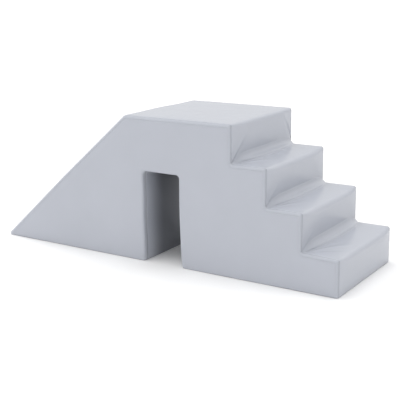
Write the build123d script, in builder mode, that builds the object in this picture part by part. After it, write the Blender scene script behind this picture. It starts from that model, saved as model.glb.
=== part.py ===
"""Upholstered foam ramp and steps for a small dog, with a walk-through tunnel under the platform.

The core is four courses of foam glued one on the other. A sewn cover of coated fabric goes round it: one long
band over the ramp, platform and steps, two flat side panels, a tunnel lining, and a base in halves that a zip
closes under each leg. Only the two zip sliders and their pulls move.

Millimetres. +X runs from the ramp's toe to the foot of the steps, +Z is up, and the origin is on the floor at
the middle of the base.
"""

import math
import os

from build123d import *

# Driving dimensions
RISER = 150.0
TREAD = 150.0
LOWER_TREADS = 3
PLATFORM = 500.0
RAMP_RUN = 680.0
FOAM_WIDTH = 500.0
SKIN = 1.2
TUNNEL_FROM_TOE = 765.0
TUNNEL_WIDTH = 185.0
TUNNEL_HEIGHT = 378.0

# Shape of the corners
TOE_HEIGHT = 9.0
TOE_RADIUS = 6.0
CREST_RADIUS = 30.0
NOSE_RADIUS = 18.0
TENT_RADIUS = 28.0
TUNNEL_RADIUS = 18.0

# Zips, under the middle of each leg
ZIP_INSET = 40.0
TOE_ZIP_INSET = 85.0
ZIP_MARGIN = 34.0
ZIP_GAP = 12.0
ZIP_RECESS = 9.0
TAPE_WIDTH = 16.0
TAPE_THICKNESS = 0.6
CHAIN_GAP = 1.2
COIL_WIDTH = 3.0
COIL_HEIGHT = 2.4
GROOVE_WIDTH = 34.0
GROOVE_HEIGHT = 12.6
STOP_LENGTH = 3.0
STOP_GAP = 1.0
STOP_OVERHANG = 0.4
STOP_ROUNDING = 0.5

# Zip slider and pull
SLIDER_LENGTH = 16.0
SLIDER_WIDTH = 10.4
SLIDER_WALL = 1.0
SLIDER_TAPER = 2.0
PLATE_THICKNESS = 1.3
SLIDER_BOTTOM = 4.7
SLIDER_TOP = 11.3
LIP_TOP = 8.5
WEB_WIDTH = 0.8
WEB_LENGTH = 4.0
WEB_FROM_NOSE = 2.5
BRIDGE_LENGTH = 8.8
BRIDGE_WIDTH = 1.6
BRIDGE_BAR = 1.2
PIVOT_Z = 3.55
PIVOT_RADIUS = 0.7
PIVOT_CLEARANCE = 0.45
PULL_REACH = 30.0
PULL_WIDTH = 8.0
PULL_NECK = 5.8
PULL_THICKNESS = 1.4
PULL_START = 5.4
PULL_WINDOW = 3.4
PULL_HOLE_RADIUS = 2.0

# Worked out from those
LEVELS = LOWER_TREADS + 1
HEIGHT = LEVELS * RISER
LENGTH = RAMP_RUN + PLATFORM + LOWER_TREADS * TREAD
TOE_X = -LENGTH / 2
CREST_X = TOE_X + RAMP_RUN
EDGE_X = CREST_X + PLATFORM
FOOT_X = LENGTH / 2
TUNNEL_LOW_X = TOE_X + TUNNEL_FROM_TOE
TUNNEL_HIGH_X = TUNNEL_LOW_X + TUNNEL_WIDTH
SIDE_Y = FOAM_WIDTH / 2
RAMP_ANGLE = math.atan2(HEIGHT - TOE_HEIGHT, RAMP_RUN)
TAPE_LOW = ZIP_RECESS
TAPE_HIGH = ZIP_RECESS + TAPE_THICKNESS

# (name, first and last x of the base, first and last x of the zip window, +1 if the zip closes towards +X)
LEGS = [
    ("ramp", TOE_X + SKIN, TUNNEL_LOW_X - SKIN, TOE_X + TOE_ZIP_INSET, TUNNEL_LOW_X - ZIP_INSET, 1),
    ("stair", TUNNEL_HIGH_X + SKIN, FOOT_X - SKIN, TUNNEL_HIGH_X + ZIP_INSET, FOOT_X - ZIP_INSET, -1),
]


def outline(inset, base_z, inner_radius):
    """Points and corner radii of the side view, moved inward by inset and closed along base_z.

    inner_radius rounds the inside corners of the steps.
    """
    drop = inset / math.cos(RAMP_ANGLE)
    toe_z = TOE_HEIGHT + inset * math.tan(RAMP_ANGLE) - drop
    crest_x = CREST_X + (drop - inset) / math.tan(RAMP_ANGLE)
    points = [(TOE_X + inset, base_z), (TOE_X + inset, toe_z), (crest_x, HEIGHT - inset)]
    radii = [0, TOE_RADIUS - inset, CREST_RADIUS - inset]
    for step in range(LEVELS):
        riser_x = EDGE_X + step * TREAD - inset
        points.append((riser_x, HEIGHT - step * RISER - inset))
        radii.append(NOSE_RADIUS - inset)
        if step < LOWER_TREADS:
            points.append((riser_x, HEIGHT - (step + 1) * RISER - inset))
            radii.append(inner_radius)
    points.append((FOOT_X - inset, base_z))
    radii.append(0)
    return points, radii


def side_view(inset, base_z, inner_radius, mode=Mode.ADD):
    """Draws the outline as a face in the open sketch."""
    points, radii = outline(inset, base_z, inner_radius)
    with BuildLine() as line:
        FilletPolyline(*points, radius=radii, close=True)
    make_face(line.edges(), mode=mode)


def tunnel_view(grow, mode):
    """Draws the tunnel's opening in the open sketch, grown outward by grow."""
    low, high = TUNNEL_LOW_X - grow, TUNNEL_HIGH_X + grow
    top, corner = TUNNEL_HEIGHT + grow, TUNNEL_RADIUS + grow
    points = [(low, 0), (low, top), (high, top), (high, 0)]
    with BuildLine() as line:
        FilletPolyline(*points, radius=[0, corner, corner, 0], close=True)
    make_face(line.edges(), mode=mode)


def save(part, name):
    """Labels a finished piece and writes it to its own file."""
    part.label = name
    export_step(part, f"parts/{name}.step")


def foam_course(name, level, low_x=TOE_X, high_x=FOOT_X):
    """One slab of the core, between two levels, cut to the side view and clear of the tunnel and zips."""
    bottom = max(level * RISER, SKIN)
    top = (level + 1) * RISER - (SKIN if level == LEVELS - 1 else 0)
    with BuildPart() as course:
        with BuildSketch(Plane.XZ):
            side_view(SKIN, SKIN, 0)
            tunnel_view(SKIN, Mode.SUBTRACT)
            with Locations(((low_x + high_x) / 2, (bottom + top) / 2)):
                Rectangle(high_x - low_x, top - bottom, mode=Mode.INTERSECT)
        extrude(amount=FOAM_WIDTH / 2, both=True)
        if level == 0:
            for one_leg in LEGS:
                zip_low, zip_high = one_leg[3:5]
                length = zip_high - zip_low + TAPE_WIDTH
                with Locations(((zip_low + zip_high) / 2, 0, 0)):
                    Box(length, GROOVE_WIDTH, 2 * GROOVE_HEIGHT, mode=Mode.SUBTRACT)
    save(course.part, name)


def top_band():
    """The one strip of cover that runs up the ramp, over the platform and down the steps."""
    with BuildPart() as band:
        with BuildSketch(Plane.XZ):
            side_view(0, 0, TENT_RADIUS)
            side_view(SKIN, 0, TENT_RADIUS + SKIN, Mode.SUBTRACT)
        extrude(amount=FOAM_WIDTH / 2, both=True)
    save(band.part, "top_band")


def side_panel(name, side):
    """A flat panel of the whole side view, with the tunnel's opening in it. side is -1 or 1."""
    outer_y = side * (SIDE_Y + SKIN)
    with BuildPart() as panel:
        with BuildSketch(Plane.XZ.offset(-outer_y)):
            side_view(0, 0, TENT_RADIUS)
            tunnel_view(0, Mode.SUBTRACT)
        extrude(amount=side * SKIN)
    save(panel.part, name)


def tunnel_lining():
    """One strip up one wall of the tunnel, across its ceiling and down the other wall."""
    with BuildPart() as lining:
        with BuildSketch(Plane.XZ):
            tunnel_view(SKIN, Mode.ADD)
            tunnel_view(0, Mode.SUBTRACT)
        extrude(amount=FOAM_WIDTH / 2, both=True)
    save(lining.part, "tunnel_lining")


def base_half(name, side, low_x, high_x, zip_low, zip_high):
    """Half of the base under one leg, cut back along the zip, where its edge turns up as a hem."""
    hem_y = side * (ZIP_GAP + SKIN) / 2
    with BuildPart() as half:
        with BuildSketch():
            with Locations(((low_x + high_x) / 2, side * SIDE_Y / 2)):
                Rectangle(high_x - low_x, SIDE_Y)
            with Locations(((zip_low + zip_high) / 2, 0)):
                Rectangle(zip_high - zip_low, ZIP_GAP, mode=Mode.SUBTRACT)
        extrude(amount=SKIN)
        with BuildSketch():
            with Locations(((zip_low + zip_high) / 2, hem_y)):
                Rectangle(zip_high - zip_low, SKIN)
        extrude(amount=ZIP_RECESS)
    save(half.part, name)


def zip_tape(name, side, zip_low, zip_high):
    """One woven tape, sewn on top of the hem."""
    width = TAPE_WIDTH - CHAIN_GAP / 2
    with BuildPart() as tape:
        with BuildSketch(Plane.XY.offset(TAPE_LOW)):
            with Locations(((zip_low + zip_high) / 2, side * (CHAIN_GAP + width) / 2)):
                Rectangle(zip_high - zip_low, width)
        extrude(amount=TAPE_THICKNESS)
    save(tape.part, name)


def zip_coil(name, side, zip_low, zip_high):
    """One row of coil teeth under the tape's inner edge, as a bar of the coil's outer section."""
    chain = zip_high - zip_low - 2 * ZIP_MARGIN
    with BuildPart() as coil:
        with BuildSketch(Plane.YZ.offset((zip_low + zip_high) / 2)):
            with Locations((side * (CHAIN_GAP + COIL_WIDTH) / 2, TAPE_LOW - COIL_HEIGHT / 2)):
                section = Rectangle(COIL_WIDTH, COIL_HEIGHT)
            fillet(section.vertices().group_by(Axis.Z)[0], COIL_HEIGHT / 3)
        extrude(amount=chain / 2, both=True)
    save(coil.part, name)


def zip_stops(name, zip_low, zip_high, closes):
    """Two small stops past the closed end of the coils and one wide stop past the open end."""
    middle, half_chain = (zip_low + zip_high) / 2, (zip_high - zip_low) / 2 - ZIP_MARGIN
    away = half_chain + STOP_GAP + STOP_LENGTH / 2
    height = COIL_HEIGHT + STOP_OVERHANG
    both_coils = CHAIN_GAP + 2 * COIL_WIDTH
    with BuildPart() as stops:
        with BuildSketch(Plane.XY.offset(TAPE_LOW - height)):
            for side in (-1, 1):
                with Locations((middle + closes * away, side * (CHAIN_GAP + COIL_WIDTH) / 2)):
                    Rectangle(STOP_LENGTH, COIL_WIDTH)
            with Locations((middle - closes * away, 0)):
                Rectangle(STOP_LENGTH, both_coils)
        extrude(amount=height)
        fillet(stops.edges().filter_by(Axis.X).group_by(Axis.Z)[0], STOP_ROUNDING)
    save(stops.part, name)


def slider_x(zip_low, zip_high, closes):
    """Where the slider parks: its closed-end face level with the end of the chain."""
    half_chain = (zip_high - zip_low) / 2 - ZIP_MARGIN
    return (zip_low + zip_high) / 2 + closes * (half_chain - SLIDER_LENGTH / 2)


def zip_slider(name, x, closes):
    """Two plates joined by a thin web, side lips that hold the coils in, and a bridge for the pull."""
    nose_x = x + closes * SLIDER_LENGTH / 2
    tail_x = x - closes * SLIDER_LENGTH / 2
    shoulder_x = nose_x - closes * SLIDER_LENGTH / 3
    half = SLIDER_WIDTH / 2
    plan = [
        (tail_x, -half + SLIDER_TAPER / 2),
        (shoulder_x, -half),
        (nose_x, -half + SLIDER_TAPER),
        (nose_x, half - SLIDER_TAPER),
        (shoulder_x, half),
        (tail_x, half - SLIDER_TAPER / 2),
    ]
    inner_half = half - SLIDER_WALL
    web_x = nose_x - closes * WEB_FROM_NOSE
    with BuildPart() as slider:
        for bottom in (SLIDER_BOTTOM, SLIDER_TOP - PLATE_THICKNESS):
            with BuildSketch(Plane.XY.offset(bottom)):
                with BuildLine():
                    Polyline(*plan, close=True)
                make_face()
            extrude(amount=PLATE_THICKNESS)
        with BuildSketch(Plane.XY.offset(SLIDER_BOTTOM)):
            with BuildLine():
                Polyline(*plan, close=True)
            make_face()
            with Locations((x, 0)):
                Rectangle(2 * SLIDER_LENGTH, 2 * inner_half, mode=Mode.SUBTRACT)
        extrude(amount=LIP_TOP - SLIDER_BOTTOM)
        with Locations((web_x, 0, (SLIDER_BOTTOM + SLIDER_TOP) / 2)):
            Box(WEB_LENGTH, WEB_WIDTH, SLIDER_TOP - SLIDER_BOTTOM)
        bridge_bottom = PIVOT_Z - PIVOT_RADIUS - PIVOT_CLEARANCE - BRIDGE_BAR
        with BuildSketch(Plane.XZ):
            with Locations((x, (bridge_bottom + SLIDER_BOTTOM) / 2)):
                Rectangle(BRIDGE_LENGTH, SLIDER_BOTTOM - bridge_bottom)
            with Locations((x, (bridge_bottom + BRIDGE_BAR + SLIDER_BOTTOM) / 2)):
                Rectangle(
                    BRIDGE_LENGTH - 2 * BRIDGE_BAR,
                    SLIDER_BOTTOM - bridge_bottom - BRIDGE_BAR,
                    mode=Mode.SUBTRACT,
                )
        extrude(amount=BRIDGE_WIDTH / 2, both=True)
    save(slider.part, name)


def zip_pull(name, x, towards):
    """A flat tab whose pin sits inside the slider's bridge. It lies along +X or -X, as towards says."""
    tip_radius = PULL_WIDTH / 2
    tip_x = x + towards * (PULL_REACH - tip_radius)
    with BuildPart() as pull:
        with BuildSketch(Plane.XY.offset(PIVOT_Z - PULL_THICKNESS / 2)):
            with Locations(((x + towards * PULL_START + tip_x) / 2, 0)):
                Rectangle(abs(tip_x - x - towards * PULL_START), PULL_WIDTH)
            with Locations((tip_x, 0)):
                Circle(tip_radius)
                Circle(PULL_HOLE_RADIUS, mode=Mode.SUBTRACT)
            with Locations((x + towards * PULL_START / 2, 0)):
                Rectangle(PULL_START, PULL_NECK)
                Rectangle(PULL_START, PULL_WINDOW, mode=Mode.SUBTRACT)
        extrude(amount=PULL_THICKNESS)
        with Locations(Location((x, 0, PIVOT_Z), (90, 0, 0))):
            Cylinder(PIVOT_RADIUS, PULL_NECK)
    save(pull.part, name)


os.makedirs("parts", exist_ok=True)
for index, course_name in enumerate(("bottom", "lower_middle")):
    foam_course(f"foam_{course_name}_ramp_side", index, high_x=TUNNEL_LOW_X)
    foam_course(f"foam_{course_name}_stair_side", index, low_x=TUNNEL_HIGH_X)
foam_course("foam_upper_middle", 2)
foam_course("foam_platform", 3)
top_band()
side_panel("side_panel_near", -1)
side_panel("side_panel_far", 1)
tunnel_lining()
for leg, leg_low, leg_high, window_low, window_high, direction in LEGS:
    for half_name, y_side in (("near", -1), ("far", 1)):
        base_half(f"{leg}_base_{half_name}", y_side, leg_low, leg_high, window_low, window_high)
        zip_tape(f"{leg}_zip_tape_{half_name}", y_side, window_low, window_high)
        zip_coil(f"{leg}_zip_coil_{half_name}", y_side, window_low, window_high)
    zip_stops(f"{leg}_zip_stops", window_low, window_high, direction)
    parked_x = slider_x(window_low, window_high, direction)
    zip_slider(f"{leg}_zip_slider", parked_x, direction)
    zip_pull(f"{leg}_zip_pull", parked_x, -direction)
    travel = window_high - window_low - 2 * ZIP_MARGIN - SLIDER_LENGTH
    print(leg, "slider parks at x", parked_x, "and travels", travel)
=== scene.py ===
"""Looks of the upholstered foam ramp and steps: sewn cover, stitches, base, zips, floor, light and camera.

Everything is in metres in the model's frame: +X runs from the ramp's toe to the foot of the steps, and the
near side is at -Y.
"""

from itertools import groupby
from math import atan, atan2, copysign, cos, hypot, pi, radians, sin, tan

import bmesh
import bpy
import numpy as np
from mathutils import Matrix, Vector
from mathutils.bvhtree import BVHTree
from mathutils.geometry import delaunay_2d_cdt
from numpy.linalg import norm


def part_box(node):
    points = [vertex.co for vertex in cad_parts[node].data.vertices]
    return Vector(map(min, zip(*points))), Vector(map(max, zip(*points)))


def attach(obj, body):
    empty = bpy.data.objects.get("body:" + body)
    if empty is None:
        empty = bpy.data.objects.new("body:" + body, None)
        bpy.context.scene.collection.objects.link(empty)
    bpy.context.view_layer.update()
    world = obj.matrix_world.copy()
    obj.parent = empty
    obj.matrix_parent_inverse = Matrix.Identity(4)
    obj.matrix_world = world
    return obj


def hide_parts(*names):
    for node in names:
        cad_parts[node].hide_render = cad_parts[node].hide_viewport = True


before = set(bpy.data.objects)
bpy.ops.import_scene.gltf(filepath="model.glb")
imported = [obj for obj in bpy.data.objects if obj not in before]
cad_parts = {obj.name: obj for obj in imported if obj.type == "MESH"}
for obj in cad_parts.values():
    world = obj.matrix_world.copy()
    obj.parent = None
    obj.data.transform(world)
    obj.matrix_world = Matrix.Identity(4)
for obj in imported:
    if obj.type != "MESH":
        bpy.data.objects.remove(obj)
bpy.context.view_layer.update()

MM = 0.001

# ---- sizes read from the frame
BAND_LOW, BAND_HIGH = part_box("top_band")
SIDE_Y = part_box("side_panel_far")[1].y
SKIN = SIDE_Y - BAND_HIGH.y
TOE_X, FOOT_X, HEIGHT = BAND_LOW.x, BAND_HIGH.x, BAND_HIGH.z
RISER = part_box("foam_bottom_stair_side")[1].z
EDGE_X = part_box("foam_platform")[1].x + SKIN
CREST_X = EDGE_X - 2 * BAND_HIGH.y
LOWER_TREADS = 3
TREAD = (FOOT_X - EDGE_X) / LOWER_TREADS
TUNNEL_LOW, TUNNEL_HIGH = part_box("tunnel_lining")
TUNNEL_LOW_X, TUNNEL_HIGH_X = TUNNEL_LOW.x + SKIN, TUNNEL_HIGH.x - SKIN
TUNNEL_TOP = TUNNEL_HIGH.z - SKIN

# ---- shape of the cover
TOE_HEIGHT, TOE_RADIUS = 12 * MM, 5 * MM
RAMP_BOW, RAMP_BOW_RADIUS = 4 * MM, 1.0  # at the middle of the ramp
ROLL = 4 * MM  # the cover turns under at the floor with this radius
BOTTOM = ROLL * (1 - pi / 2)  # so its edges are cut this far below the floor before they turn
SEAM_Y = SIDE_Y - 8.2 * MM
LEAST_RADIUS = 2 * MM
CREST_RADII = (19 * MM, 64 * MM)  # in the near half and at the far side
CREST_TAPER = 150 * MM
NOSE_AT_SEAM = {-1: 7 * MM, 1: 12 * MM}  # radius of every nose at the seam, by side
NOSES = (16 * MM, 24 * MM, 24 * MM, 23 * MM)  # and of each in the middle, from the platform down
# How far the middle of each nose bulges out and sags, and how far its near end sags, in mm
NOSE_BULGE = ((3, 0.5, 0), (7, 4.5, 0), (7, 5, 1), (7, 7.5, 5))
NOSE_TAPER = 110 * MM
# The cover cuts across each inner corner of the steps: how far up the riser and out along the tread
TENT = (31 * MM, 34 * MM)
TENT_AT_SEAM = {-1: (4 * MM, 7 * MM), 1: (11 * MM, 11 * MM)}  # by side
TENT_TAPER = {-1: (110 * MM, 220 * MM), 1: (90 * MM, 110 * MM)}
TENT_ROUNDING = 3 * MM
# There it sags and then swells in a soft ridge: (way down, height), both as shares of the strip's width
TENT_RIDGE = [
    (0, 0), (0.1, -0.045), (0.22, -0.08), (0.35, -0.09), (0.48, -0.075),
    (0.6, -0.04), (0.7, -0.005), (0.8, 0.024), (0.9, 0.026), (1, 0),
]
CROWN = {"ramp": 4 * MM, "platform": 3 * MM, "riser": 0.5 * MM, "tent": 0, "tread": 3 * MM}
SOFT_TAPER = 60 * MM  # how far from a seam the stuffing pushes the cover out in full
UNEVEN = 0.5 * MM
PUCKER_HEIGHT, PUCKER_REACH = 0.22 * MM, 11 * MM  # gathers along the seams
TUNNEL_RADIUS = 18 * MM
STITCH_INSET = 13.2 * MM
HEM_Z = 10 * MM  # height of the stitches above the floor

# How closely the points of the cover lie
SPACING = 6 * MM
TOE_STEPS, TENT_STEPS, ARC_STEPS, LEAST_STEPS = 6, 20, 8, 4
TUNNEL_COUNTS = [5, 48, 22, 48, 5]
BAND_ROWS, LINING_ROWS = 76, 56
PANEL_SPACING = 8 * MM
PANEL_FOOT_ROWS = [-1.2, 0, 1.3, 2.6, 4, 7.4, 8.8, 10, 11.2, 13]  # heights in mm of its rows near the floor
PANEL_GRID_FOOT = 19 * MM  # where its even rows start
PANEL_CLEAR = (2.5 * MM, 5 * MM)  # how far the two kinds of row stay from its edge

# Rows across the band's edge: (distance from the seam, depth below the band's face), in mm
LIP = [(-0.1, 8), (-0.1, 5.5), (0, 3.8), (0.35, 2.4), (1.1, 1.2), (2.4, 0.4), (4.6, 0)]
SEAM_DEPTH = 3.8  # where the two meet
# LIP_SHADE: how strongly painted shade darkens the band down into the seam's groove
LIP_SHADE = 0.2  # how strongly the seam's dark shows on the band
# Loops round the side panel's edge: (distance in from the outline, depth behind the panel's face), in mm
RIM = [
    (8, 8.5), (5.5, 8.4), (3.8, 8.2), (2.3, 7.9), (1.4, 7.2), (1.2, 6), (1.7, 4.7), (2.8, 3.2),
    (4.3, 1.9), (6.3, 0.8), (8.8, 0.1), (11.4, -0.2), (12.6, 0.1), (13.4, 0.8), (14.4, 0.4), (17.5, 0),
]
# Past RIM_HIDDEN the rim is painted in full shade
RIM_FACE, RIM_HIDDEN = 4, 7  # deeper it faces out of the outline, and deeper still it is out of sight
# How close it comes to the outline, and how far and how strongly the painted shade of the seam reaches out
# on it
RIM_START, RIM_REACH, RIM_SHADE = 1.2, 2.8, 0.12
# The panel's crown, and how far from its edge and from the floor it is full
PANEL_CROWN, PANEL_CROWN_TAPER, PANEL_FOOT_TAPER = 1.6 * MM, 170 * MM, 120 * MM
HEM_DIP, HEM_DIP_WIDTH = 0.6 * MM, 1.1 * MM  # the stitches above the floor pull the panel in
# Loops round the tunnel's mouth: (distance out from the opening, depth behind the panel's face), in mm
MOUTH = [(0, 24), (0, 17), (0, 10.5), (0.6, 7), (1.8, 4.4), (3.8, 2.1), (6.8, 0.6), (10.5, 0), (16, 0)]
# Rows at the lining's ends: (distance in from the end, height above the lining's face), in mm
LINING_EDGE = [(0, 0), (0.6, 1.2), (2, 0.2)]
LINING_START = 6 * MM  # where its even rows start
LINING_SAG, LINING_UNEVEN, LINING_TAPER = 2.5 * MM, 0.8 * MM, 120 * MM
# Painted shade on the lining deepens in from each mouth over these lengths
SHADE_TAPER = {-1: 125 * MM, 1: 50 * MM}  # how far in from each mouth the lining gets darker, by side
# share of the lining's painted shade at the foot of the walls, beside the full share under the ceiling
FOOT_SHADE = 0.88  # how dark the foot of the tunnel's walls is beside its ceiling
# The tunnel's walls, and what is this near to them, are out of true. Each ripples, by (height, radians to
# the metre), one bows, and the one on the stairs' side leans in above its foot
LEAN_REACH = 45 * MM
LOW_WALL_BOW, LOW_WALL_RIPPLE = 0.5 * MM, (1.2 * MM, 26)
HIGH_WALL_LEAN, HIGH_WALL_FOOT, HIGH_WALL_RIPPLE = 10 * MM, 45 * MM, (1.0 * MM, 19)

# Folds about each inner corner: step, then (distance from the near seam, distance along the cover from the
# inner corner, up the riser being negative) at the start and the end, half width and height, in mm
FOLDS = [
    (0, (4, -8), (120, -95), 13, 3.4),
    (0, (12, -5), (95, -48), 10, -2.8),
    (0, (486, -40), (405, -128), 10, 3.1),
    (0, (482, -20), (425, -100), 11, -2.5),
    (0, (6, 8), (170, 105), 14, 1.7),
    (0, (8, 4), (190, 62), 13, -1.7),
    (1, (5, 8), (160, 100), 13, 1.8),
    (1, (8, 4), (200, 70), 14, -1.8),
    (1, (6, -8), (90, -60), 12, 1.7),
    (2, (6, 7), (210, 125), 12, 2.5),
    (2, (8, 4), (220, 88), 12, -2.2),
    (2, (24, 26), (130, 138), 9, -2.0),
    (2, (6, -8), (80, -50), 11, 1.7),
]
FOLD_START = 0.35  # width of a fold where it starts, as a share of its full width

# ---- stitches, foam and base
STITCH_PITCH = 4 * MM
STITCH_LENGTH, STITCH_WIDTH, STITCH_HEIGHT = 1.5 * MM, 0.42 * MM, 0.3 * MM  # half sizes
STITCH_LIFT = 0.1 * MM
STITCH = [(-1, 0.25), (-0.75, 0.8), (0.75, 0.8), (1, 0.25)]  # (share of the half length, of the girth)
STITCH_SIDES = 6
# How far the stitches above the floor stay from the toe, from the tunnel's two walls, and from the foot
HEM_STOPS = (36 * MM, 18 * MM, 20 * MM, 16 * MM)
FOOT_STOP = 10 * MM  # and those under the lowest riser from the seams

FOAM_INSET = 9 * MM
FOAM_GAP = 2.2 * MM  # under the lowest course
FOAM_JOINT = 0.1 * MM  # between one course and the next
FOAM_SPLIT = 3 * MM  # more than the inset, where a leg's foam faces the tunnel
FOAM_NOSE = 17 * MM
FOAM_BEVEL = 1.5 * MM
GROOVE_WIDTH = 34 * MM
GROOVE_HEIGHT = 12.6 * MM
ZIP_END = 8 * MM  # how far past the tape's ends the base's halves part

BASE_ROWS = 41
BASE_UNEVEN, BASE_TAPER = 0.25 * MM, 1 / 8  # the second is a share of the width
BASE_TUCK = 0.4 * MM  # how far the base reaches under the cover's rolled edge
STAIR_BASE_INSET = 4.5 * MM  # how much further in the base starts at the tunnel on the stairs' side
HEM_EDGE, HEM_SHUT = 6 * MM, 0.4 * MM  # from the middle to the hem, along the zip and beyond its ends
HEM_TOP, HEM_BEND = 8.9 * MM, 2.4 * MM
QUARTER = [radians(15 * k) for k in range(7)]

DOT_HEIGHT, DOT_ROOT = 0.6 * MM, 0.4 * MM  # below and inside the cloth
DOT_PITCH, DOT_RADIUS, DOT_SIDES = 15 * MM, 1.6 * MM, 8
DOT_ROWS, DOT_STAGGER = 0.8, 0.5  # between rows, and between their starts, as shares of the pitch
DOT_MARGIN = 8 * MM
DOT = [(1, 1), (0.9, 0.45), (0.6, 0.1), (0.2, 0)]  # (share of the radius, share of the height)

TAPE_SHARES = (0, 0.03, 0.06, 0.09, 0.12, 0.3, 0.5, 0.7, 0.9, 1)  # rows across a tape, from its inner edge
CORD_SHARE, CORD_HEIGHT = 0.12, 0.35 * MM
TAPE_WAVE, TAPE_WAVE_TURN = 0.1 * MM, 170  # height, and radians to the metre
WIRE, WIRE_PITCH, WIRE_STEPS, WIRE_SIDES = 0.33 * MM, 1.5 * MM, 8, 5  # radius, pitch, steps to a turn
WIRE_SQUARENESS, BRIDGE_SQUARENESS = 0.7, 0.45  # 1 is round
STOP_LENGTH, STOP_BEVEL = 3 * MM, 0.5 * MM

# The slider's plates from tail to nose: (share of the half length, share of the half width)
SLIDER_PLAN = [(-1, 0.8), (-0.95, 0.9), (0.2, 0.97), (0.36, 1), (0.55, 0.93), (0.95, 0.66), (1, 0.58)]
SLIDER_HEIGHT = 6.6 * MM  # without the bridge
PLATE, PLATE_BEVEL = 1.3 * MM, 0.3 * MM
WEB_ENDS, WEB_HALF = (3.5 * MM, 7.5 * MM), 0.4 * MM
FLANGE_ENDS, FLANGE_INSETS = (-0.9, 0.72), (1.5 * MM, 0.55 * MM)
FLANGE_FOOT, FLANGE_DROP, FLANGE_BEVEL = 0.4 * MM, 2.8 * MM, 0.2 * MM
BRIDGE_REACH, BRIDGE_WIDTH, BRIDGE_HALF = 4.4 * MM, 1.2 * MM, 0.8 * MM
BRIDGE_STEPS, BRIDGE_SINK, BRIDGE_BEVEL = 8, 0.3 * MM, 0.25 * MM
PIN_RADIUS, PIN_SIDES = 0.7 * MM, 16
TAB_START, TAB_HOLE, TAB_HALF, TAB_EASE, TAB_STEPS = 5.4 * MM, 2 * MM, 0.7 * MM, 0.25 * MM, 48
BAR_ENDS, BAR_SIDES = (-0.5 * MM, 6.2 * MM), (1.7 * MM, 2.9 * MM)
TINY = 1e-9
JOIN_GAP = 0.02 * MM  # points this close are one

TUNNEL_LEVEL = 2  # the course of foam that is the tunnel's ceiling


def unit(vector):
    return vector / norm(vector)


def left_of(direction):
    return np.array([-direction[1], direction[0]])


def turned(direction, angle):
    return direction * cos(angle) + left_of(direction) * sin(angle)


def circle(count):
    """Angles evenly round a circle."""
    return [2 * pi * k / count for k in range(count)]


def ease(x):
    """Rises from 0 to 1 as x does, fast at first and slow at the end."""
    x = np.clip(x, 0, 1)
    return 1 - (1 - x) ** 2


def smooth_step(x):
    """Rises from 0 to 1 as x does, slow at both ends."""
    x = np.clip(x, 0, 1)
    return x * x * (3 - 2 * x)


def distance_along(line):
    """How far along a line each of its points is."""
    return np.concatenate([[0], np.cumsum(norm(np.diff(line, axis=0), axis=1))])


def rounded(corners, radii, counts):
    """Follows an outline with its corners rounded: points, directions out of the object, and places.

    counts has the number of steps along each straight run. A place is the number of the run plus how far
    along it the point is, and a whole number on a corner's arc.
    """
    points, outward, places = [], [], []
    start = corners[0]
    last = len(corners) - 1
    for i in range(1, last + 1):
        ahead = unit(corners[i] - corners[i - 1])
        reach = 0
        if i < last and radii[i] > 0:
            after = unit(corners[i + 1] - corners[i])
            turn = atan2(ahead[0] * after[1] - ahead[1] * after[0], ahead @ after)
            reach = radii[i] * tan(abs(turn) / 2)
        stop = corners[i] - ahead * reach
        for k in range(counts[i - 1]):
            points.append(start + (stop - start) * k / counts[i - 1])
            outward.append(left_of(ahead))
            places.append(i - 1 + k / counts[i - 1])
        start = stop
        if reach:
            for k in range(ARC_STEPS):
                now = turned(ahead, turn * k / ARC_STEPS)
                away = left_of(ahead) - left_of(now)
                points.append(stop + copysign(radii[i], turn) * away)
                outward.append(left_of(now))
                places.append(i)
            start = corners[i] + after * reach
    points.append(corners[-1])
    outward.append(left_of(ahead))
    places.append(last)
    return np.array(points), np.array(outward), np.array(places)


def moved_in(corners, radii, distance):
    """The outline moved inward by distance: outer corners get tighter and inner corners wider."""
    moved, new_radii = [], []
    for i, corner in enumerate(corners):
        before = unit(corner - corners[i - 1]) if i else None
        after = unit(corners[i + 1] - corner) if i < len(corners) - 1 else before
        before = after if before is None else before
        inward = -(left_of(before) + left_of(after)) / (1 + before @ after)
        moved.append(corner + inward * distance)
        bend = before[0] * after[1] - before[1] * after[0]
        new_radii.append(max(radii[i] + copysign(distance, bend), LEAST_RADIUS) if radii[i] else 0)
    return moved, new_radii


def outline(y):
    """Corners and radii of the cover's outline in the side view at y, from the toe to the foot."""
    inboard = SEAM_Y - abs(y)
    side = -1 if y < 0 else 1
    soft = ease(inboard / NOSE_TAPER)
    rise, run = [
        least + (most - least) * ease(inboard / taper)
        for least, most, taper in zip(TENT_AT_SEAM[side], TENT, TENT_TAPER[side])
    ]
    crest = CREST_RADII[0] + (CREST_RADII[1] - CREST_RADII[0]) * smooth_step(y / CREST_TAPER)
    near_share = (SEAM_Y - y) / (2 * SEAM_Y)
    ramp = np.array([CREST_X - TOE_X, HEIGHT - TOE_HEIGHT])
    middle = np.array([TOE_X, TOE_HEIGHT]) + ramp / 2 + left_of(unit(ramp)) * RAMP_BOW
    corners = [(TOE_X, BOTTOM), (TOE_X, TOE_HEIGHT), middle, (CREST_X, HEIGHT)]
    radii = [0, TOE_RADIUS, RAMP_BOW_RADIUS, crest]
    for step, nose in enumerate(NOSES):
        out, sag, near_sag = (v * MM for v in NOSE_BULGE[step])
        x, z = EDGE_X + step * TREAD, HEIGHT - step * RISER
        corners.append((x + out * soft, z - sag * soft - near_sag * near_share * (1 - soft)))
        radii.append(NOSE_AT_SEAM[side] + (nose - NOSE_AT_SEAM[side]) * soft)
        if step < LOWER_TREADS:
            corners += [(x, z - RISER + rise), (x + run, z - RISER)]
            radii += [TENT_ROUNDING, TENT_ROUNDING]
    corners += [(FOOT_X, ROLL), (FOOT_X, BOTTOM)]
    radii += [0, 0]
    return [np.array(c) for c in corners], radii


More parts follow.
